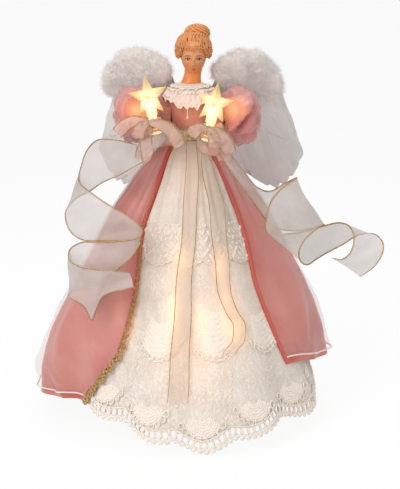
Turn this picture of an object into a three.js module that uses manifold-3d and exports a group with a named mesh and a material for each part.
// Lighted angel tree topper: a doll with feather wings and lamps in both hands, whose gown
// hangs over a hollow cone. Millimetres, +Z up. The front faces -Y, and "left" and "right" are
// the viewer's, so right is +X. The origin is on the cone's axis, in the plane of its rim.
import * as THREE from 'three';
import { mergeVertices } from 'three/addons/utils/BufferGeometryUtils.js';
import loadManifold from 'manifold-3d';

const wasm = await loadManifold();
wasm.setup();

// Fits shared by all pieces
const clearance = 0.3;
const clothThickness = 0.8;
const layerStep = 1.6;          // from one cloth layer to the next over it
const cutOverrun = 1;           // how far a cutting tool runs past the wall it cuts

// Inner cone
const coneHeight = 284;
const coneRimRadius = 60;
const coneTopRadius = 15.5;
const coneWall = 1.6;
const rimFlangeWidth = 6;
const rimFlangeHeight = 2.4;

// Mini lamps
const holderRadius = 4;
const holderInside = 9;
const holderProud = 6;
const holderFlangeWidth = 1.6;
const holderFlangeHeight = 1.2;
const socketDepth = 8;
const bulbRadius = 3;
const bulbNeckRadius = 2.3;
const bulbGlassLength = 19;
const lowerRingHeight = 105;
const upperRingHeight = 165;
const lampsPerRing = 4;
const lowerRingTurn = 28;
const upperRingTurn = -12;
const lampSegments = 7;

// Body form, bust and collar
const torsoHeight = 52;
const torsoPlugLength = 12;
const shoulderHalfWidth = 24;
const torsoHalfDepth = 15;
const waistStep = 1;            // how far the waist stands out past the cone's top edge
const shoulderPlateRadius = 21;
const shoulderPlateHeight = 7;
const neckRadius = 7.8;
const neckLength = 18;
const headHalfWidth = 13.2;
const headHalfDepth = 15.5;
const headHeight = 39;
const hairHalfWidth = 17.6;
const hairHalfDepth = 15.6;
const hairHalfHeight = 17.8;
const hairSetBack = 5;
const bunRadius = 8.4;
const hairRollRadius = 11;
const hairRollThickness = 3.4;
const curlRadius = 4.6;
const noseLength = 6.6;
const noseRadius = 2.2;
const noseProud = 0.65;         // from the face's front to the nose's middle line
const headTurn = 7;
const collarReach = 28;
const collarDrop = 15;
const collarBib = 7;
const collarRuffle = 1.4;

// Gown
const skirtTopRise = 6;         // of the skirt's top above the cone's
const skirtTopHeight = coneHeight + skirtTopRise;
const hemClearance = 2;
const hemRise = 33;
const hemLowAzimuth = 12;
const waistGap = 0.5;           // between the body form and the first skirt
const skirtHemRadius = 140;
const robeHemRadius = 158;
const robeStandOff = 4.2;       // least distance from the skirt to the robe over it
const robeHemHeight = 38;
const robeHemTilt = 20;
const robeHemStart = 60;        // azimuths that the hem's tilt runs between, right edge to left
const robeHemEnd = 310;
const robeSideSwell = 5;
const foldDepth = 4.2;
const robeFoldDepth = 4.6;
const scallopCount = 15;
const scallopDepth = 10;
const hemLaceShow = 13;         // how far the hem lace hangs below the skirt
const middleTierTop = 166;
const middleTierBottom = 86;
const upperTierTop = 236;
const upperTierBottom = 170;
const sashHeight = 11;
const sashThickness = 1.6;

// Sleeves, arms and hand lamps
const sleevePuffHeight = 30;
const sleevePuffWidth = 21;
const sleeveShoulderRadius = 11.5;
const cuffRadius = 14.5;
const shoulderRise = 28.7;        // of the sleeve's shoulder above the body form's foot
const elbowReach = 53;
const elbowForward = 22;
const elbowRise = 2;            // above the shoulder
const cuffReach = 46;
const cuffForward = 61;
const cuffRise = 8;             // above the shoulder
const armWireRadius = 1.5;
const wristRadius = 3.8;
const wristDrop = 5;            // how far below the cuff's centre the wrist lies
const wristLength = 15;
const fistHalfWidth = 7;
const fistHalfHeight = 8;
const fistHeight = 2.5;         // centre of the fist above the lamp's grip point
const handLampInside = 20.2;    // from the cuff's centre to the lamp's grip point
const handLampAhead = 10;
const handLampDrop = 14.5;
const handLampStagger = 2.8;    // the left lamp is held this much above the mean, the right below
const handHolderTop = 16;       // top of the lamp holder above the grip point
const handLampLean = 11;
const starRadius = 20;
const starValleyRadius = 8.6;
const starHalfThickness = 6.6;
const starHeight = 31;          // centre of the star above the grip point
const starWallShare = 0.82;
const starSleeveWall = 1;
const starSleeveGrip = 4;

// Wings
const wingSplay = 22;
const wingSweepShare = 0.2;
const bracketHalfWidth = 12;
const bracketThickness = 2;
const bracketHeight = 24;
const bracketFlap = 13;
const wingCardThickness = 1.2;
const quillCount = 7;
const quillWidth = 27;
const quillThickness = 1.6;
const quillStep = 0.55;
const wingSpan = 106;
const wingTopRise = 15.7;       // above the top of the body form
const wingDrop = 116;
const downRadius = 15;
const downDepth = 9.5;

// Ribbons and trim
const narrowRibbonWidth = 13;
const ribbonLift = 2.7;         // of a streamer over the skirt it hangs on
const streamerLength = 236;
const knotDrop = 6;             // of each ribbon's knot below the skirt's top
const knotOutside = 15.2;       // from the lamp's grip point to the knot
const knotBehind = 8;
const leftRibbonReach = 80;
const leftRibbonDepth = 50;
const leftRibbonFall = 136;
const rightRibbonReach = 150;
const rightRibbonDepth = 50;
const rightRibbonFall = 120;
const rosetteRadius = 5.6;
const rosetteDepth = 3;
const rosetteEyeRadius = 1.7;
const trimScallops = 26;
const trimTopRadius = 1.7;
const trimBottomRadius = 3.6;

// Materials
const material = (color, roughness, metalness = 0) =>
  new THREE.MeshStandardMaterial({ color, roughness, metalness });
const whitePlastic = material('#f1ece2', 0.55);
const satinPink = material('#d98a80', 0.35);
const sheerPink = material('#e3bfb4', 0.5);
const whiteLace = material('#f6efe4', 0.8);
const whiteCloth = material('#f4eadd', 0.75);
const paintedSkin = material('#d99567', 0.45);
const featherWhite = material('#f3f1ef', 0.85);
const clearPlastic = material('#fff2c2', 0.15);
const warmGlass = material('#ffe9b0', 0.12);
const goldBraid = material('#a98a55', 0.35, 0.7);
const steelWire = material('#9c9a96', 0.35, 0.9);
const organza = material('#e8d9cf', 0.4);

const model = new THREE.Group();

/** Adds one named piece to the model. */
function addPiece(name, geometry, pieceMaterial, matrix) {
  const mesh = new THREE.Mesh(geometry, pieceMaterial);
  mesh.name = name;
  if (matrix) mesh.applyMatrix4(matrix);
  model.add(mesh);
  return mesh;
}

const radians = THREE.MathUtils.degToRad;
const mix = THREE.MathUtils.lerp;
const smooth = (value) => THREE.MathUtils.smoothstep(value, 0, 1);
const point = (x, y, z) => new THREE.Vector3(x, y, z);

/** The point at an azimuth in degrees, where 0 is the front and +90 the viewer's right. */
const around = (azimuth, radius, height) =>
  point(radius * Math.sin(radians(azimuth)), -radius * Math.cos(radians(azimuth)), height);

/** Reads a table of [position share, value share] rows, whose positions rise, by straight lines. */
function readShares(shares, position) {
  const last = shares.length - 1;
  if (position <= shares[0][0]) return shares[0][1];
  for (let i = 1; i <= last; i += 1) {
    if (position <= shares[i][0]) {
      const span = shares[i][0] - shares[i - 1][0];
      return mix(shares[i - 1][1], shares[i][1], (position - shares[i - 1][0]) / span);
    }
  }
  return shares[last][1];
}

/** Turns the triangles over where a closed surface was wound inside out. */
function facingOut(geometry) {
  const position = geometry.getAttribute('position');
  const index = geometry.getIndex();
  const corner = (i) => new THREE.Vector3().fromBufferAttribute(position, index.getX(i));
  let volume = 0;
  for (let i = 0; i < index.count; i += 3) {
    volume += corner(i).dot(corner(i + 1).cross(corner(i + 2)));
  }
  if (volume < 0) {
    for (let i = 0; i < index.count; i += 3) {
      const second = index.getX(i + 1);
      index.setX(i + 1, index.getX(i + 2));
      index.setX(i + 2, second);
    }
  }
  return geometry;
}

function geometryOf(positions, indices) {
  const geometry = new THREE.BufferGeometry();
  geometry.setAttribute('position', new THREE.Float32BufferAttribute(positions, 3));
  geometry.setIndex(indices);
  return facingOut(geometry);
}

/** A closed cloth shell between two skins over the same grid, sewn together along its edges. */
function shellGeometry(skins, uSteps, vSteps, goesRound) {
  const columns = goesRound ? uSteps : uSteps + 1;
  const positions = [];
  for (const skin of skins) {
    for (let i = 0; i < columns; i += 1) {
      for (let j = 0; j <= vSteps; j += 1) {
        positions.push(...skin(i / uSteps, j / vSteps).toArray());
      }
    }
  }
  const at = (skin, i, j) => (skin * columns + (i % columns)) * (vSteps + 1) + j;
  const indices = [];
  const quad = (a, b, c, d) => indices.push(a, b, c, a, c, d);
  for (let i = 0; i < uSteps; i += 1) {
    for (let j = 0; j < vSteps; j += 1) {
      quad(at(0, i, j), at(0, i + 1, j), at(0, i + 1, j + 1), at(0, i, j + 1));
      quad(at(1, i, j), at(1, i, j + 1), at(1, i + 1, j + 1), at(1, i + 1, j));
    }
    quad(at(0, i, 0), at(1, i, 0), at(1, i + 1, 0), at(0, i + 1, 0));
    quad(at(0, i, vSteps), at(0, i + 1, vSteps), at(1, i + 1, vSteps), at(1, i, vSteps));
  }
  for (let j = 0; j < vSteps && !goesRound; j += 1) {
    quad(at(0, 0, j), at(0, 0, j + 1), at(1, 0, j + 1), at(1, 0, j));
    quad(at(0, uSteps, j), at(1, uSteps, j), at(1, uSteps, j + 1), at(0, uSteps, j + 1));
  }
  return geometryOf(positions, indices);
}

/** A cloth shell of one thickness along the normals of a surface. */
function sheetGeometry(surface, thickness, uSteps, vSteps, goesRound = false) {
  const reach = 0.001;
  const skin = (side) => (u, v) => {
    const u0 = goesRound ? u - reach : Math.max(u - reach, 0);
    const u1 = goesRound ? u + reach : Math.min(u + reach, 1);
    const alongU = surface(u1, v).sub(surface(u0, v));
    const alongV = surface(u, Math.min(v + reach, 1)).sub(surface(u, Math.max(v - reach, 0)));
    const normal = alongU.cross(alongV).normalize();
    return surface(u, v).addScaledVector(normal, (side * thickness) / 2);
  };
  return shellGeometry([skin(1), skin(-1)], uSteps, vSteps, goesRound);
}

/** A closed solid through a stack of rings with as many points each, capped at both ends. */
function loftGeometry(rings) {
  const sides = rings[0].length;
  const positions = rings.flat().flatMap((corner) => corner.toArray());
  const indices = [];
  for (let i = 0; i + 1 < rings.length; i += 1) {
    for (let j = 0; j < sides; j += 1) {
      const next = (j + 1) % sides;
      const a = i * sides + j;
      const b = i * sides + next;
      indices.push(a, b, b + sides, a, b + sides, a + sides);
    }
  }
  for (const [ring, start, turned] of [[rings[0], 0, true],
    [rings[rings.length - 1], (rings.length - 1) * sides, false]]) {
    const hub = positions.length / 3;
    const middle = ring.reduce((sum, corner) => sum.add(corner), point(0, 0, 0)).divideScalar(sides);
    positions.push(...middle.toArray());
    for (let j = 0; j < sides; j += 1) {
      const edge = [start + j, start + ((j + 1) % sides)];
      indices.push(hub, ...(turned ? edge.reverse() : edge));
    }
  }
  return geometryOf(positions, indices);
}

/** A ring of points on an ellipse spanned by two half axes. */
function ellipseRing(center, halfA, halfB, sides) {
  return Array.from({ length: sides }, (_, j) => {
    const angle = (2 * Math.PI * j) / sides;
    return center.clone().addScaledVector(halfA, Math.cos(angle)).addScaledVector(halfB, Math.sin(angle));
  });
}

/** A solid along a curve whose section is an ellipse of changing width and height. */
function sweptGeometry(curve, stations, sides, widthAt, heightAt) {
  const frames = curve.computeFrenetFrames(stations, false);
  return loftGeometry(Array.from({ length: stations + 1 }, (_, i) => ellipseRing(
    curve.getPointAt(i / stations),
    frames.normals[i].clone().multiplyScalar(widthAt(i / stations)),
    frames.binormals[i].clone().multiplyScalar(heightAt(i / stations)),
    sides,
  )));
}

/** The closed solid that booleans work on, made from a geometry. */
function solidOf(geometry, matrix = new THREE.Matrix4()) {
  const bare = geometry.clone().applyMatrix4(matrix);
  bare.deleteAttribute('normal');
  bare.deleteAttribute('uv');
  const merged = mergeVertices(bare, 1e-4);
  return new wasm.Manifold(new wasm.Mesh({
    numProp: 3,
    vertProperties: merged.getAttribute('position').array,
    triVerts: Uint32Array.from(merged.getIndex().array),
  }));
}

function geometryFrom(solid) {
  const mesh = solid.getMesh();
  const geometry = new THREE.BufferGeometry();
  geometry.setAttribute('position', new THREE.BufferAttribute(mesh.vertProperties, 3));
  geometry.setIndex(new THREE.BufferAttribute(mesh.triVerts, 1));
  return geometry;
}

const joined = (solids) => solids.reduce((sum, solid) => sum.add(solid));
const moved = (x, y, z) => new THREE.Matrix4().makeTranslation(x, y, z);
const profile = (...corners) => corners.map(([radius, height]) => new THREE.Vector2(radius, height));
const upright = () => new THREE.Matrix4().makeRotationX(Math.PI / 2);

/** A solid of revolution about its own +Z axis. */
const turned = (corners, segments) =>
  new THREE.LatheGeometry(profile(...corners), segments).applyMatrix4(upright());

/** A rod of one radius along its own +Z axis. */
const rod = (radius, from, to, segments) =>
  turned([[0, from], [radius, from], [radius, to], [0, to]], segments);

/** The placement whose +Z axis points along a direction from an origin. */
function alongAxis(origin, direction) {
  const turn = new THREE.Quaternion().setFromUnitVectors(point(0, 0, 1), direction.clone().normalize());
  return new THREE.Matrix4().compose(origin, turn, point(1, 1, 1));
}

/** The mirror image of a geometry for the left side. */
function sided(geometry, sign) {
  return sign > 0 ? geometry : facingOut(geometry.applyMatrix4(new THREE.Matrix4().makeScale(-1, 1, 1)));
}

const sides = [
  { name: 'left', sign: -1 },
  { name: 'right', sign: 1 },
];

// Inner cone: a hollow frustum with a flat rim, and a hole for each lamp holder
const coneRadiusAt = (height) => mix(coneRimRadius, coneTopRadius, height / coneHeight);
const coneSlope = Math.atan((coneRimRadius - coneTopRadius) / coneHeight);

const lampSeats = [
  { height: lowerRingHeight, turn: lowerRingTurn },
  { height: upperRingHeight, turn: upperRingTurn },
].flatMap(({ height, turn }) => Array.from({ length: lampsPerRing }, (_, i) => {
  const azimuth = turn + (360 * i) / lampsPerRing;
  const outward = around(azimuth, Math.cos(coneSlope), Math.sin(coneSlope));
  return alongAxis(around(azimuth, coneRadiusAt(height), height), outward);
}));

function makeInnerCone() {
  const shell = solidOf(turned([
    [coneRimRadius - coneWall, 0],
    [coneRimRadius + rimFlangeWidth, 0],
    [coneRimRadius + rimFlangeWidth, rimFlangeHeight],
    [coneRadiusAt(rimFlangeHeight), rimFlangeHeight],
    [coneTopRadius, coneHeight],
    [coneTopRadius - coneWall, coneHeight],
    [coneRimRadius - coneWall, 0],
  ], 28));
  const drill = rod(holderRadius + clearance, -coneWall - cutOverrun, cutOverrun, lampSegments);
  const holes = joined(lampSeats.map((seat) => solidOf(drill, seat)));
  addPiece('inner_cone', geometryFrom(shell.subtract(holes)), whitePlastic);
}

// Mini lamps: a holder with a flange and a socket, and a push-in bulb
const holderGeometry = (bottom, top, flangeFrom) => turned([
  [0, bottom],
  [holderRadius, bottom],
  [holderRadius, flangeFrom],
  [holderRadius + holderFlangeWidth, flangeFrom],
  [holderRadius + holderFlangeWidth, flangeFrom + holderFlangeHeight],
  [holderRadius, flangeFrom + holderFlangeHeight],
  [holderRadius, top],
  [bulbNeckRadius + clearance, top],
  [bulbNeckRadius + clearance, top - socketDepth],
  [0, top - socketDepth],
], lampSegments);

/** A bulb whose neck ends a clearance above its socket's floor, in a holder with this top. */
const bulbGeometry = (top) => turned([
  [0, top - socketDepth + clearance],
  [bulbNeckRadius, top - socketDepth + clearance],
  [bulbNeckRadius, top + clearance],
  [bulbRadius, top + bulbRadius],
  [bulbRadius, top + bulbGlassLength - 2 * bulbRadius],
  [bulbRadius / 2, top + bulbGlassLength - bulbRadius / 2],
  [0, top + bulbGlassLength],
], lampSegments);

function makeInnerLamps() {
  lampSeats.forEach((seat, i) => {
    const holder = holderGeometry(-holderInside, holderProud, clearance);
    addPiece(`lamp_holder_${i + 1}`, holder, whitePlastic, seat);
    addPiece(`bulb_${i + 1}`, bulbGeometry(holderProud), warmGlass, seat);
  });
}

// Body form, with rows of height share, half width share and half depth share
const waistRadius = coneTopRadius + waistStep;
const torsoFoot = coneHeight + clearance;
const torsoTop = torsoFoot + torsoHeight;
const torsoWidthShares = [[0, 0], [0.14, 0], [0.4, 0.28], [0.7, 0.8], [0.88, 1], [1, 0.3]];
const torsoDepthShares = [[0, 0], [0.14, 0], [0.4, 0.7], [0.7, 0.9], [0.88, 1], [1, 2.6]];
const bodySides = 20;

// Places of the shoulders, elbows, cuffs, hand lamps, ribbon knots and wings
const sleeveShoulderHeight = torsoFoot + shoulderRise;
const sleeveElbow = new THREE.Vector3(elbowReach, -elbowForward, sleeveShoulderHeight + elbowRise);
const cuffCenter = new THREE.Vector3(cuffReach, -cuffForward, sleeveShoulderHeight + cuffRise);
const handLampSpread = cuffReach - handLampInside;
const handLampForward = cuffForward + handLampAhead;
const handLampHeight = cuffCenter.z - handLampDrop;
const knotSpread = handLampSpread + knotOutside;
const knotForward = handLampForward - knotBehind;
const knotHeight = skirtTopHeight - knotDrop;
const wingTopHeight = torsoTop + wingTopRise;

const torsoWidthAt = (share) => mix(waistRadius, shoulderHalfWidth, readShares(torsoWidthShares, share));
const torsoDepthAt = (share) => mix(waistRadius, torsoHalfDepth, readShares(torsoDepthShares, share));
const bodiceOutset = clearance + clothThickness;

function torsoRing(share, outset) {
  const width = torsoWidthAt(share) + outset;
  const depth = torsoDepthAt(share) + outset;
  const center = point(0, 0, torsoFoot + share * torsoHeight);
  return ellipseRing(center, point(width, 0, 0), point(0, depth, 0), bodySides);
}

function makeTorso() {
  const form = solidOf(loftGeometry(torsoWidthShares.map(([share]) => torsoRing(share, 0))));
  const plugRadius = coneTopRadius - coneWall - clearance;
  const plug = solidOf(rod(plugRadius, coneHeight - torsoPlugLength, torsoFoot + cutOverrun, bodySides));
  addPiece('torso_form', geometryFrom(form.add(plug)), whitePlastic);
}

function makeBodice() {
  const rows = torsoWidthShares.slice(1, -1).map(([share]) => share);
  const skin = (outset) => (u, v) => {
    const ring = torsoRing(rows[Math.round(v * (rows.length - 1))], outset);
    return ring[Math.round(u * bodySides) % bodySides];
  };
  const skins = [skin(bodiceOutset), skin(clearance)];
  addPiece('bodice', shellGeometry(skins, bodySides, rows.length - 1, true), satinPink);
}

// Bust: head, hair, neck and shoulder plate in one casting
const plateFoot = torsoTop + clearance;
const plateTop = plateFoot + shoulderPlateHeight;
const chinHeight = plateTop + neckLength - neckRadius;
const headCenter = chinHeight + headHeight / 2;
const headShares = [[0, 0.3], [0.07, 0.52], [0.22, 0.78], [0.42, 0.95], [0.6, 1], [0.8, 0.88],
  [0.94, 0.5], [1, 0.2]];

function makeBust() {
  const plate = turned([
    [0, plateFoot],
    [shoulderPlateRadius, plateFoot],
    [shoulderPlateRadius - clearance, plateFoot + shoulderPlateHeight / 4],
    [mix(neckRadius, shoulderPlateRadius, 0.5), plateFoot + shoulderPlateHeight * 0.72],
    [neckRadius, plateTop],
    [neckRadius * 0.9, plateTop + neckLength * 0.6],
    [neckRadius, plateTop + neckLength],
    [0, plateTop + neckLength],
  ], 18).scale(1, torsoHalfDepth / shoulderPlateRadius, 1);
  const face = loftGeometry(headShares.map(([rise, share]) => ellipseRing(
    point(0, -headHalfDepth * 0.12 * (1 - rise), chinHeight + headHeight * rise),
    point(headHalfWidth * share, 0, 0),
    point(0, headHalfDepth * Math.min(share * 1.08, 1), 0),
    12,
  )));
  const nose = new THREE.ConeGeometry(noseRadius, noseLength, 5);
  const noseAt = moved(0, -headHalfDepth - noseProud, chinHeight + headHeight * 0.36);
  const hairCenter = headCenter + hairHalfHeight * 0.32;
  const cap = new THREE.SphereGeometry(1, 13, 8).scale(hairHalfWidth, hairHalfDepth, hairHalfHeight);
  const roll = new THREE.TorusGeometry(hairRollRadius, hairRollThickness, 5, 12);
  const rollAt = moved(0, hairSetBack, hairCenter + hairHalfHeight * 0.72)
    .multiply(new THREE.Matrix4().makeRotationX(radians(-14)));
  const bun = new THREE.SphereGeometry(bunRadius, 8, 6);
  const bunAt = moved(hairRollThickness, hairSetBack, hairCenter + hairHalfHeight);
  const curl = new THREE.SphereGeometry(curlRadius, 6, 4);
  const curlOut = hairHalfWidth - curlRadius * 0.6;
  const head = joined([
    solidOf(face),
    solidOf(nose, noseAt.multiply(upright())),
    solidOf(cap, moved(0, hairSetBack, hairCenter)),
    solidOf(roll, rollAt),
    solidOf(bun, bunAt),
    ...sides.flatMap(({ sign }) => [
      solidOf(curl, moved(sign * curlOut, 0, headCenter - curlRadius)),
      solidOf(curl, moved(sign * curlOut * 0.94, curlRadius, headCenter - 2.2 * curlRadius)),
    ]),
  ]);
  const turn = new THREE.Matrix4().makeRotationZ(radians(headTurn));
  const turnedHead = solidOf(geometryFrom(head), turn);
  addPiece('head_bust', geometryFrom(solidOf(plate).add(turnedHead)), paintedSkin);
}

// Lace collar: a ruffle from the neck over the shoulder plate, with a bib in front
const collarRadiusShares = [[0, 0], [0.3, 0.3], [0.62, 0.62], [0.82, 0.86], [1, 1]];
const collarFallShares = [[0, 0], [0.3, 0.13], [0.62, 0.3], [0.82, 0.62], [1, 1]];

function makeCollar() {
  const innerRadius = neckRadius + 2 * clearance;
  const top = plateTop + 3 * clearance;
  const skin = (lift) => (u, v) => {
    const azimuth = mix(0, 360, u);
    const reach = mix(innerRadius, collarReach, readShares(collarRadiusShares, v));
    const bib = collarBib * Math.max(Math.cos(radians(azimuth)), 0) ** 4 * v ** 3;
    const ruffle = collarRuffle * v * v * Math.cos(radians(9 * azimuth));
    const height = top - collarDrop * readShares(collarFallShares, v) - bib + ruffle + lift;
    const edge = around(azimuth, reach + lift, height);
    edge.y *= mix(1, torsoHalfDepth / shoulderPlateRadius, 0.7 * (1 - v) + 0.3);
    return edge;
  };
  addPiece('lace_collar', shellGeometry([skin(clothThickness), skin(0)], 27, 4, true), whiteLace);
}

// Gown layers share one radius function, so that no layer crosses the next. The rows are
// height share of the skirt and radius share between the waist and the hem.
const columns = 60;
const skirtWaistRadius = waistRadius + waistGap + clothThickness;
const skirtShares = [[0, 1], [0.152, 0.893], [0.29, 0.769], [0.407, 0.654], [0.669, 0.39],
  [0.734, 0.316], [0.845, 0.185], [0.948, 0.077], [1, 0]];
const robeShares = [[0, 1], [0.172, 0.963], [0.279, 0.905], [0.407, 0.794], [0.545, 0.648],
  [0.666, 0.523], [0.745, 0.435], [0.814, 0.339], [0.862, 0.266], [0.931, 0.148], [1, 0]];

function foldsAt(azimuth, rise) {
  const waves = 0.6 * Math.cos(radians(9 * azimuth + 40)) + 0.4 * Math.cos(radians(14 * azimuth + 115));
  return (1 - rise) ** 1.2 * waves;
}

function skirtRadius(azimuth, height) {
  const rise = height / skirtTopHeight;
  return mix(skirtWaistRadius, skirtHemRadius, readShares(skirtShares, rise))
    + foldDepth * foldsAt(azimuth, rise);
}

/** The gown's hem is lowest in front and rises towards the sides and the back. */
function hemHeight(azimuth) {
  const away = Math.abs(((azimuth - hemLowAzimuth + 540) % 360) - 180);
  return hemClearance + hemRise * Math.sin(radians(Math.min(away, 90))) ** 1.15;
}

/** How far a scalloped edge is drawn up between the tips of its scallops, as a share. */
const scallopShare = (azimuth) =>
  1 - Math.abs(Math.cos(radians(((azimuth - hemLowAzimuth) * scallopCount) / 2)));

/** A cloth layer over the skirt between two heights that follow the azimuth. */
function skirtLayer(lift, fromAzimuth, toAzimuth, uSteps, vSteps, topAt, bottomAt) {
  const skin = (outset) => (u, v) => {
    const azimuth = mix(fromAzimuth, toAzimuth, u);
    const height = mix(topAt(azimuth), bottomAt(azimuth), v);
    return around(azimuth, skirtRadius(azimuth, height) + outset, height);
  };
  const goesRound = toAzimuth - fromAzimuth >= 360;
  return shellGeometry([skin(lift + clothThickness), skin(lift)], uSteps, vSteps, goesRound);
}

function makeSkirts() {
  const skirtBottom = (azimuth) => hemHeight(azimuth) + hemLaceShow;
  addPiece('underskirt', skirtLayer(-clothThickness, 0, 360, columns, 7, () => skirtTopHeight,
    skirtBottom), whiteCloth);
  const columnWidth = 360 / columns;
  const first = -11 * columnWidth;
  const last = 14 * columnWidth;
  const laceLift = layerStep - clothThickness;
  addPiece('lace_tier_upper', skirtLayer(laceLift, first, last, 25, 3, () => upperTierTop,
    (azimuth) => upperTierBottom + scallopDepth * scallopShare(azimuth)), whiteLace);
  addPiece('lace_tier_middle', skirtLayer(laceLift, first, last, 25, 3, () => middleTierTop,
    (azimuth) => middleTierBottom + scallopDepth * scallopShare(azimuth)), whiteLace);
  addPiece('lace_hem', skirtLayer(laceLift, 0, 360, columns, 2,
    () => middleTierBottom - layerStep,
    (azimuth) => hemHeight(azimuth) + scallopDepth * scallopShare(azimuth)), whiteLace);
}

// Robe: an open overskirt, whose front edges lie on the skirt and whose sides puff out. The
// rows of the edges are height share of the skirt and azimuth in degrees.
const robeLeftShares = [[0, -50], [0.09, -49], [0.21, -40], [0.32, -32], [0.465, -31],
  [0.6, -35], [0.78, -44], [1, -46]];
const robeRightShares = [[0, 66], [0.17, 64], [0.34, 60], [0.52, 57], [0.67, 61], [0.8, 64], [1, 52]];
const robeColumns = 34;
const robeRows = 7;
const robeFlare = 34;

/** The robe is sewn close at the waist, and stands off from the skirt below it. */
const seamStandOff = layerStep - clothThickness;
const standOffAt = (rise) => mix(robeStandOff, seamStandOff, smooth((rise - 0.86) / 0.14));

function robeRadius(azimuth, height) {
  const rise = height / skirtTopHeight;
  const least = skirtRadius(azimuth, height) + standOffAt(rise);
  const waist = skirtWaistRadius + seamStandOff;
  const swell = -robeSideSwell * Math.sin(radians(azimuth)) * (1 - rise);
  const full = mix(waist, robeHemRadius, readShares(robeShares, rise)) + swell
    + robeFoldDepth * foldsAt(azimuth + 20, rise);
  const fromLeft = azimuth - 360 - readShares(robeLeftShares, rise);
  const fromRight = azimuth - readShares(robeRightShares, rise);
  const away = Math.min(-fromLeft, fromRight) / robeFlare;
  return mix(least, Math.max(full, least), smooth(away));
}

/** A layer over the robe, or the robe itself at no lift. */
function robeLayer(lift) {
  const skin = (outset) => (u, v) => {
    const hem = robeHemHeight + robeHemTilt * Math.sin(radians(mix(robeHemStart, robeHemEnd, u)));
    const height = mix(skirtTopHeight, hem, v);
    const rise = height / skirtTopHeight;
    const azimuth = mix(readShares(robeRightShares, rise), readShares(robeLeftShares, rise) + 360, u);
    return around(azimuth, robeRadius(azimuth, height) + outset, height);
  };
  return shellGeometry([skin(lift + clothThickness), skin(lift)], robeColumns, robeRows, false);
}

const sashRadius = skirtWaistRadius + seamStandOff + 2 * layerStep;
const sashFront = sashRadius + sashThickness;

function makeRobe() {
  addPiece('robe', robeLayer(0), satinPink);
  addPiece('robe_overlay', robeLayer(layerStep), organza);
  const sashFoot = skirtTopHeight - clearance;
  const sash = turned([
    [sashRadius, sashFoot],
    [sashFront, sashFoot + sashHeight / 4],
    [sashFront, sashFoot + (sashHeight * 3) / 4],
    [sashRadius, sashFoot + sashHeight],
    [sashRadius - clothThickness, sashFoot + sashHeight / 2],
    [sashRadius, sashFoot],
  ], 28);
  addPiece('waist_sash', sash, goldBraid);
}

// Robe trim: a braid of scallops that grow towards the hem, along the robe's left edge
function makeRobeTrim() {
  const top = skirtTopHeight * 0.76;
  const bottom = robeHemHeight - robeHemTilt / 2;
  const radiusAt = (t) => mix(trimTopRadius, trimBottomRadius, t);
  const route = Array.from({ length: 12 }, (_, i) => {
    const t = i / 11;
    const height = mix(top, bottom, t);
    const radius = skirtRadius(0, height) + robeStandOff + radiusAt(t);
    const inset = THREE.MathUtils.radToDeg((radiusAt(t) + 5 * clearance) / radius);
    const azimuth = readShares(robeLeftShares, height / skirtTopHeight) + inset;
    return around(azimuth, skirtRadius(azimuth, height) + robeStandOff + radiusAt(t) / 2, height);
  });
  const curve = new THREE.CatmullRomCurve3(route);
  const beadAt = (t) => radiusAt(t) * (0.74 + 0.26 * Math.cos(2 * Math.PI * trimScallops * t));
  addPiece('robe_trim', sweptGeometry(curve, 2 * trimScallops, 5, beadAt, beadAt), goldBraid);
}

// Sleeves: puffed satin tubes from the shoulder round the elbow to a cuff that faces inward
const shoulderShare = (sleeveShoulderHeight - torsoFoot) / torsoHeight;
const sleeveShoulder = point(shoulderHalfWidth + bodiceOutset + clothThickness, 0, sleeveShoulderHeight);
const sleeveRoute = new THREE.CatmullRomCurve3([
  sleeveShoulder,
  point(mix(sleeveShoulder.x, sleeveElbow.x, 0.72), sleeveShoulder.y, sleeveElbow.z),
  sleeveElbow,
  point(sleeveElbow.x, mix(sleeveElbow.y, cuffCenter.y, 0.6), mix(sleeveElbow.z, cuffCenter.z, 0.4)),
  cuffCenter,
]);
const sleevePuffShares = [[0, 0], [0.2, 0.62], [0.42, 1], [0.62, 0.98], [0.84, 0.55], [1, 0]];

function makeSleeves() {
  const along = 8;
  const frameAt = (v) => {
    const tangent = sleeveRoute.getTangentAt(v);
    const level = point(-tangent.y, tangent.x, 0).normalize();
    return { center: sleeveRoute.getPointAt(v), level, up: tangent.clone().cross(level).normalize() };
  };
  const surface = (u, v) => {
    const { center, level, up } = frameAt(v);
    const puff = readShares(sleevePuffShares, v);
    const end = mix(sleeveShoulderRadius, cuffRadius, v);
    const gather = 1 + 0.05 * Math.cos(2 * Math.PI * 7 * u + 5 * v);
    const angle = 2 * Math.PI * u;
    return center
      .addScaledVector(level, mix(end, sleevePuffWidth, puff) * gather * Math.cos(angle))
      .addScaledVector(up, mix(end, sleevePuffHeight, puff) * gather * Math.sin(angle));
  };
  for (const { name, sign } of sides) {
    const sleeve = sheetGeometry(surface, clothThickness, 16, along, true);
    addPiece(`sleeve_${name}`, sided(sleeve, sign), satinPink);
  }
}

// Hand lamps: a fist round a lamp holder, with a bulb and a slip-on star cover
function lampPlacement(sign) {
  const foot = point(sign * handLampSpread, -handLampForward, handLampHeight - sign * handLampStagger);
  const lean = radians(handLampLean);
  return alongAxis(foot, point(sign * Math.sin(lean), 0, Math.cos(lean)));
}

function wristEnd(sign) {
  const fist = point(0, 0, fistHeight).applyMatrix4(lampPlacement(sign));
  const cuff = point(sign * cuffCenter.x, cuffCenter.y, cuffCenter.z - wristDrop);
  const direction = cuff.sub(fist).normalize();
  return { fist, direction, end: fist.clone().addScaledVector(direction, wristLength) };
}

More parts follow.
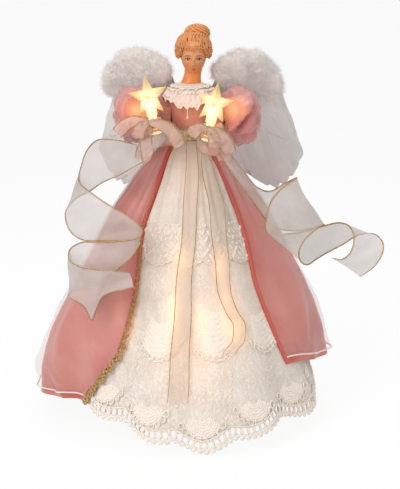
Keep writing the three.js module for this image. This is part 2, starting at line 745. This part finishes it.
function makeHands() {
  for (const { name, sign } of sides) {
    const placement = lampPlacement(sign);
    const { fist, direction } = wristEnd(sign);
    const palm = new THREE.SphereGeometry(1, 9, 6).scale(fistHalfWidth, fistHalfWidth, fistHalfHeight);
    const knuckle = new THREE.SphereGeometry(fistHalfWidth / 2, 5, 4);
    const fingers = [-1, 0, 1].map((step) => solidOf(knuckle, placement.clone()
      .multiply(moved(0, -fistHalfWidth * 0.66, fistHeight + step * fistHalfHeight * 0.36))));
    const wrist = rod(wristRadius, 0, wristLength, 8);
    const bore = rod(holderRadius + clearance, -2 * fistHalfHeight, 2 * fistHalfHeight, 9);
    const hand = joined([
      solidOf(palm, placement.clone().multiply(moved(0, 0, fistHeight))),
      solidOf(wrist, alongAxis(fist, direction)),
      ...fingers,
    ]).subtract(solidOf(bore, placement));
    addPiece(`hand_${name}`, geometryFrom(hand), paintedSkin);
  }
}

function makeArmWires() {
  for (const { name, sign } of sides) {
    const { direction, end } = wristEnd(sign);
    const mirrored = (spot) => point(sign * spot.x, spot.y, spot.z);
    const bodiceSide = torsoWidthAt(shoulderShare) + bodiceOutset;
    const start = point(sign * (bodiceSide + 2 * clearance), 0, sleeveShoulderHeight);
    const route = new THREE.CatmullRomCurve3([
      start,
      ...[0.3, 0.5, 0.7].map((t) => mirrored(sleeveRoute.getPointAt(t))),
      end.clone().addScaledVector(direction, wristRadius + clearance),
      end.clone().addScaledVector(direction, clearance),
    ]);
    const section = new THREE.Shape(ellipseRing(point(0, 0, 0), point(armWireRadius, 0, 0),
      point(0, armWireRadius, 0), 6).map(({ x, y }) => new THREE.Vector2(x, y)));
    const wire = new THREE.ExtrudeGeometry(section, {
      steps: 12, bevelEnabled: false, extrudePath: route,
    });
    addPiece(`arm_wire_${name}`, wire, steelWire);
  }
}

/** A five-pointed star with a raised centre on both faces, standing in the XZ plane. */
function starGeometry(scale) {
  const outline = Array.from({ length: 10 }, (_, i) => {
    const radius = scale * (i % 2 ? starValleyRadius : starRadius);
    const angle = Math.PI / 2 + (i * Math.PI) / 5;
    return point(radius * Math.cos(angle), 0, radius * Math.sin(angle));
  });
  const apex = scale * starHalfThickness;
  const corners = [...outline, point(0, -apex, 0), point(0, apex, 0)];
  const indices = outline.flatMap((_, i) => {
    const next = (i + 1) % outline.length;
    return [10, i, next, 11, next, i];
  });
  return geometryOf(corners.flatMap((corner) => corner.toArray()), indices);
}

function makeHandLamps() {
  const sleeveFoot = handHolderTop - starSleeveGrip;
  const sleeveRadius = holderRadius + clearance + starSleeveWall;
  const bulbBore = bulbRadius + 2 * clearance;
  for (const { name, sign } of sides) {
    const placement = lampPlacement(sign);
    const starAt = moved(0, 0, starHeight);
    const holderFoot = fistHeight - fistHalfHeight;
    const holder = holderGeometry(holderFoot, handHolderTop, holderFoot);
    addPiece(`hand_lamp_holder_${name}`, holder, whitePlastic, placement);
    addPiece(`hand_bulb_${name}`, bulbGeometry(handHolderTop), warmGlass, placement);
    const body = solidOf(starGeometry(1), starAt)
      .add(solidOf(rod(sleeveRadius, sleeveFoot, starHeight - bulbRadius, 12)));
    const hollow = joined([
      solidOf(starGeometry(starWallShare), starAt),
      solidOf(rod(holderRadius + clearance, sleeveFoot - cutOverrun, handHolderTop + clearance, 12)),
      solidOf(rod(bulbBore, handHolderTop, starHeight, 12)),
    ]);
    addPiece(`star_cover_${name}`, geometryFrom(body.subtract(hollow)), clearPlastic, placement);
  }
}

// Wings: a bracket on the back, and on each side a card with overlapping quills and a down roll
const bracketMiddle = torsoFoot + torsoHeight * 0.56;
const bracketFootShare = (bracketMiddle - bracketHeight / 2 - torsoFoot) / torsoHeight;
const bracketFace = torsoDepthAt(bracketFootShare) + bodiceOutset + clearance;
const wingSlope = Math.tan(radians(wingSplay));

/** A point of the right wing: its distance outward, its height and its depth behind the card. */
function wingPoint(outward, height, behind) {
  const rootDepth = bracketFace + bracketThickness + 2 * clearance;
  const splay = (outward - bracketHalfWidth) * wingSlope;
  const sweep = Math.max(wingTopHeight - height, 0) * wingSweepShare * smooth(outward / wingSpan * 2);
  return point(outward, rootDepth + splay + sweep + behind, height);
}

function makeBracket() {
  const rise = bracketFlap * Math.sin(radians(wingSplay));
  const run = bracketFlap * Math.cos(radians(wingSplay));
  const plan = new THREE.Shape([
    new THREE.Vector2(-bracketHalfWidth, bracketFace),
    new THREE.Vector2(bracketHalfWidth, bracketFace),
    new THREE.Vector2(bracketHalfWidth + run, bracketFace + rise),
    new THREE.Vector2(bracketHalfWidth + run, bracketFace + rise + bracketThickness),
    new THREE.Vector2(bracketHalfWidth, bracketFace + bracketThickness),
    new THREE.Vector2(-bracketHalfWidth, bracketFace + bracketThickness),
    new THREE.Vector2(-bracketHalfWidth - run, bracketFace + rise + bracketThickness),
    new THREE.Vector2(-bracketHalfWidth - run, bracketFace + rise),
  ]);
  const plate = new THREE.ExtrudeGeometry(plan, { depth: bracketHeight, bevelEnabled: false });
  addPiece('wing_bracket', plate, whitePlastic, moved(0, 0, bracketMiddle - bracketHeight / 2));
}

// The rows are outward share of the span, and height share between the wing's foot and top
const cardShares = [[0.14, 0.57], [0.14, 0.75], [0.33, 0.98], [0.6, 1.02], [0.78, 0.9], [0.84, 0.7],
  [0.6, 0.72], [0.36, 0.7]];
const quillWidthShares = [[0, 0.3], [0.15, 0.55], [0.4, 0.95], [0.74, 0.96], [0.93, 0.62], [1, 0.16]];
const quillTipShares = [[0.5, 0.1], [0.58, 0.05], [0.68, 0], [0.78, -0.03], [0.87, 0], [0.95, 0.09],
  [1, 0.23]];

function makeQuill(i) {
  const t = i / (quillCount - 1);
  const foot = wingTopHeight - wingDrop;
  const root = [mix(0.34, 0.8, t) * wingSpan, foot + wingDrop * mix(0.98, 0.8, t ** 2)];
  const tip = [wingSpan * quillTipShares[i][0], foot + wingDrop * quillTipShares[i][1]];
  const layer = quillStep * (i % 2 ? 1 : -1);
  const heading = new THREE.Vector2(tip[0] - root[0], tip[1] - root[1]).normalize();
  const rings = quillWidthShares.map(([share, widthShare]) => {
    const x = mix(root[0], tip[0], share) + heading.y * quillWidth * 0.2 * Math.sin(Math.PI * share);
    const z = mix(root[1], tip[1], share);
    const half = (quillWidth / 2) * widthShare;
    const thick = (quillThickness / 2) * mix(1, 0.5, share);
    const across = (side, behind) =>
      wingPoint(x + heading.y * half * side, z - heading.x * half * side, layer + behind);
    return [across(-1, 0), across(0, -thick), across(1, 0), across(0, thick)];
  });
  return solidOf(loftGeometry(rings));
}

function makeWings() {
  const foot = wingTopHeight - wingDrop;
  const corners = cardShares.map(([out, up]) => [out * wingSpan, foot + up * wingDrop]);
  const cardHalf = wingCardThickness / 2;
  const cardSide = (behind) => corners.map(([x, z]) => wingPoint(x, z, behind));
  const card = solidOf(loftGeometry([cardSide(-cardHalf), cardSide(cardHalf)]));
  const quills = Array.from({ length: quillCount }, (_, i) => makeQuill(i));
  const wing = geometryFrom(joined([card, ...quills]));
  const downRoute = new THREE.CatmullRomCurve3([
    [0.24, 1.05], [0.4, 1.11], [0.56, 1.12], [0.7, 1.06], [0.81, 0.95], [0.85, 0.8],
  ].map(([out, up]) => wingPoint(out * wingSpan, foot + up * wingDrop,
    -downDepth - quillThickness - quillStep)));
  const puff = (t) => Math.sqrt(Math.sin(Math.PI * mix(0.08, 0.94, t))) * (1 + 0.07 * Math.cos(34 * t));
  const down = sweptGeometry(downRoute, 15, 10, (t) => downRadius * puff(t), (t) => downDepth * puff(t));
  for (const { name, sign } of sides) {
    addPiece(`wing_${name}`, sided(wing.clone(), sign), featherWhite);
    addPiece(`wing_down_${name}`, sided(down.clone(), sign), featherWhite);
  }
}

// Ribbons
/** A ribbon between two edge curves, each through its own points. */
function ribbonGeometry(edgeA, edgeB, steps) {
  const curves = [edgeA, edgeB].map((edge) => new THREE.CatmullRomCurve3(edge));
  const surface = (u, v) => curves[0].getPoint(u).lerp(curves[1].getPoint(u), v);
  return sheetGeometry(surface, clothThickness, steps, 2);
}

/** A ribbon of one width along a route of [centre, direction across] rows. */
function bandGeometry(route, width, steps) {
  const edge = (side) => route.map(([center, across]) =>
    center.clone().addScaledVector(across.clone().normalize(), (side * width) / 2));
  return ribbonGeometry(edge(-1), edge(1), steps);
}

/** A streamer that hangs on the front of the skirt, with edges in azimuth over its length. */
function streamerGeometry(leftShares, rightShares, length, steps) {
  const top = skirtTopHeight - 2 * layerStep;
  const skin = (outset) => (u, v) => {
    const height = top - length * v;
    const reach = skirtRadius(0, height) + ribbonLift;
    const sidePlace = mix(readShares(leftShares, v), readShares(rightShares, v), u) * narrowRibbonWidth;
    const azimuth = THREE.MathUtils.radToDeg(Math.asin(sidePlace / reach));
    return around(azimuth, skirtRadius(azimuth, height) + ribbonLift + outset, height);
  };
  return shellGeometry([skin(clothThickness), skin(0)], 2, steps, false);
}

// The rows are length share and place share of the ribbon's width to the viewer's right
const centerLeftShares = [[0, -0.1], [0.2, -0.05], [0.5, -0.15], [0.8, -0.45], [1, -0.6]];
const centerRightShares = [[0, 0.6], [0.2, 0.95], [0.5, 0.95], [0.8, 0.9], [1, 0.9]];
const rightLeftShares = [[0, 0.9], [0.15, 1.3], [0.35, 2.0], [0.7, 2.9], [1, 3.4]];
const rightRightShares = [[0, 1.2], [0.15, 2.1], [0.35, 3.1], [0.7, 4.0], [1, 4.3]];

function makeStreamers() {
  addPiece('streamer_center', streamerGeometry(centerLeftShares, centerRightShares, streamerLength, 13),
    sheerPink);
  addPiece('streamer_right', streamerGeometry(rightLeftShares, rightRightShares,
    streamerLength * 0.82, 12), sheerPink);
}

function makeHandBows() {
  const beside = rosetteRadius + narrowRibbonWidth * 0.3;
  const onSash = Math.sqrt((sashFront + clearance) ** 2 - beside ** 2);
  for (const { name, sign } of sides) {
    const underHand = handLampHeight - sign * handLampStagger - fistHalfHeight - narrowRibbonWidth / 2;
    const route = [
      [point(sign * beside, -onSash, skirtTopHeight + sashHeight / 2), point(0, 0, 1)],
      [point(sign * knotSpread * 0.34, -mix(onSash, knotForward, 0.5), underHand), point(0, 0, 1)],
      [point(sign * knotSpread * 0.66, -knotForward, underHand), point(sign * 0.2, 0, 1)],
      [point(sign * knotSpread * 0.93, -knotForward, mix(underHand, knotHeight, 0.6)), point(sign, 0, 1)],
      [point(sign * knotSpread, -knotForward, knotHeight - narrowRibbonWidth / 2), point(sign, 0, 0)],
    ];
    addPiece(`hand_bow_${name}`, bandGeometry(route, narrowRibbonWidth, 12), sheerPink);
  }
}

// Left wired ribbon: both edges through shares of its reach, depth and fall, from the knot
const leftRibbonShares = [
  [[-0.04, 0, 0.05], [0.05, 0, -0.06]],
  [[-0.2, 0.02, 0.07], [-0.14, 0.04, -0.125]],
  [[-0.375, 0.06, 0.085], [-0.3, 0.08, -0.18]],
  [[-0.575, 0.22, 0.066], [-0.51, 0.16, -0.24]],
  [[-0.725, 0.38, -0.02], [-0.675, 0.24, -0.31]],
  [[-0.81, 0.5, -0.13], [-0.875, 0.32, -0.38]],
  [[-0.85, 0.48, -0.22], [-0.99, 0.26, -0.46]],
  [[-0.81, 0.3, -0.265], [-0.975, 0.1, -0.53]],
  [[-0.65, 0.08, -0.31], [-0.89, -0.06, -0.6]],
  [[-0.425, -0.12, -0.375], [-0.71, -0.24, -0.64]],
  [[-0.2, -0.3, -0.43], [-0.44, -0.4, -0.625]],
  [[-0.025, -0.42, -0.485], [-0.16, -0.5, -0.61]],
  [[0.06, -0.52, -0.54], [0.03, -0.57, -0.61]],
  [[0.02, -0.62, -0.575], [-0.02, -0.66, -0.68]],
  [[-0.16, -0.64, -0.6], [-0.14, -0.68, -0.76]],
  [[-0.42, -0.6, -0.62], [-0.34, -0.68, -0.86]],
  [[-0.7, -0.5, -0.635], [-0.6, -0.66, -0.95]],
  [[-0.86, -0.44, -0.7], [-0.82, -0.64, -0.99]],
  [[-0.84, -0.6, -0.76], [-0.84, -0.78, -1.01]],
  [[-0.64, -0.75, -0.8], [-0.64, -0.84, -1.08]],
  [[-0.56, -0.79, -0.8], [-0.54, -0.88, -1.17]],
  [[-0.48, -0.83, -0.8], [-0.48, -0.91, -1.09]],
  [[-0.34, -0.88, -0.8], [-0.38, -0.95, -0.98]],
  [[-0.06, -0.96, -0.8], [0.0, -1.02, -0.9]],
];

// Right wired ribbon: it falls from the knot, winds twice to the front and ends in the air
const rightRibbonShares = [
  [[0.035, 0, 0], [-0.035, 0, 0]],
  [[0.12, 0.05, -0.14], [0.07, 0.05, -0.2]],
  [[0.21, 0.14, -0.28], [0.19, 0.12, -0.41]],
  [[0.29, 0.26, -0.32], [0.31, 0.16, -0.6]],
  [[0.38, 0.32, -0.26], [0.44, 0.3, -0.65]],
  [[0.465, 0.12, -0.19], [0.57, 0.24, -0.62]],
  [[0.44, -0.16, -0.195], [0.65, 0, -0.56]],
  [[0.375, -0.4, -0.24], [0.6, -0.34, -0.57]],
  [[0.315, -0.62, -0.33], [0.53, -0.58, -0.64]],
  [[0.29, -0.72, -0.45], [0.5, -0.7, -0.72]],
  [[0.285, -0.62, -0.56], [0.51, -0.66, -0.8]],
  [[0.33, -0.36, -0.62], [0.55, -0.48, -0.85]],
  [[0.43, -0.06, -0.64], [0.61, -0.08, -0.84]],
  [[0.55, 0.14, -0.63], [0.69, 0.26, -0.81]],
  [[0.66, 0.12, -0.58], [0.78, 0.42, -0.76]],
  [[0.745, -0.04, -0.54], [0.86, 0.42, -0.69]],
  [[0.81, -0.28, -0.54], [0.93, 0.24, -0.65]],
  [[0.84, -0.52, -0.59], [0.99, 0, -0.64]],
  [[0.84, -0.64, -0.66], [1.03, -0.28, -0.68]],
  [[0.815, -0.7, -0.73], [1.02, -0.52, -0.75]],
  [[0.77, -0.64, -0.78], [0.975, -0.64, -0.83]],
  [[0.71, -0.52, -0.785], [0.89, -0.62, -0.92]],
];

/** A wide ribbon through rows of its two edges, as shares of its size, from its knot. */
function makeWideRibbon(name, sign, rows, size) {
  const knot = point(sign * knotSpread, -knotForward + clothThickness + clearance, knotHeight);
  const edges = [0, 1].map((side) =>
    rows.map((row) => point(...row[side]).multiply(size).add(knot)));
  addPiece(`wide_ribbon_${name}`, ribbonGeometry(edges[0], edges[1], 40), sheerPink);
}

function makeWideRibbons() {
  makeWideRibbon('left', -1, leftRibbonShares, point(leftRibbonReach, leftRibbonDepth, leftRibbonFall));
  makeWideRibbon('right', 1, rightRibbonShares,
    point(rightRibbonReach, rightRibbonDepth, rightRibbonFall));
}

function makeRosette() {
  const petals = new THREE.Shape();
  const steps = 24;
  for (let i = 0; i <= steps; i += 1) {
    const angle = (2 * Math.PI * i) / steps;
    const radius = rosetteRadius * (0.84 + 0.16 * Math.cos(6 * angle));
    const spot = [radius * Math.cos(angle), radius * Math.sin(angle)];
    if (i === 0) petals.moveTo(...spot);
    else if (i < steps) petals.lineTo(...spot);
  }
  const flower = new THREE.ExtrudeGeometry(petals, { depth: rosetteDepth, bevelEnabled: false });
  const eye = new THREE.SphereGeometry(rosetteEyeRadius, 8, 6);
  const solid = solidOf(flower).add(solidOf(eye, moved(0, 0, rosetteDepth)));
  const place = moved(0, -sashFront - clearance,
    skirtTopHeight + sashHeight / 2).multiply(upright());
  addPiece('waist_rosette', geometryFrom(solid), goldBraid, place);
}

makeInnerCone();
makeInnerLamps();
makeTorso();
makeBodice();
makeBust();
makeCollar();
makeSkirts();
makeRobe();
makeRobeTrim();
makeSleeves();
makeHands();
makeArmWires();
makeHandLamps();
makeBracket();
makeWings();
makeStreamers();
makeHandBows();
makeWideRibbons();
makeRosette();

export default model;
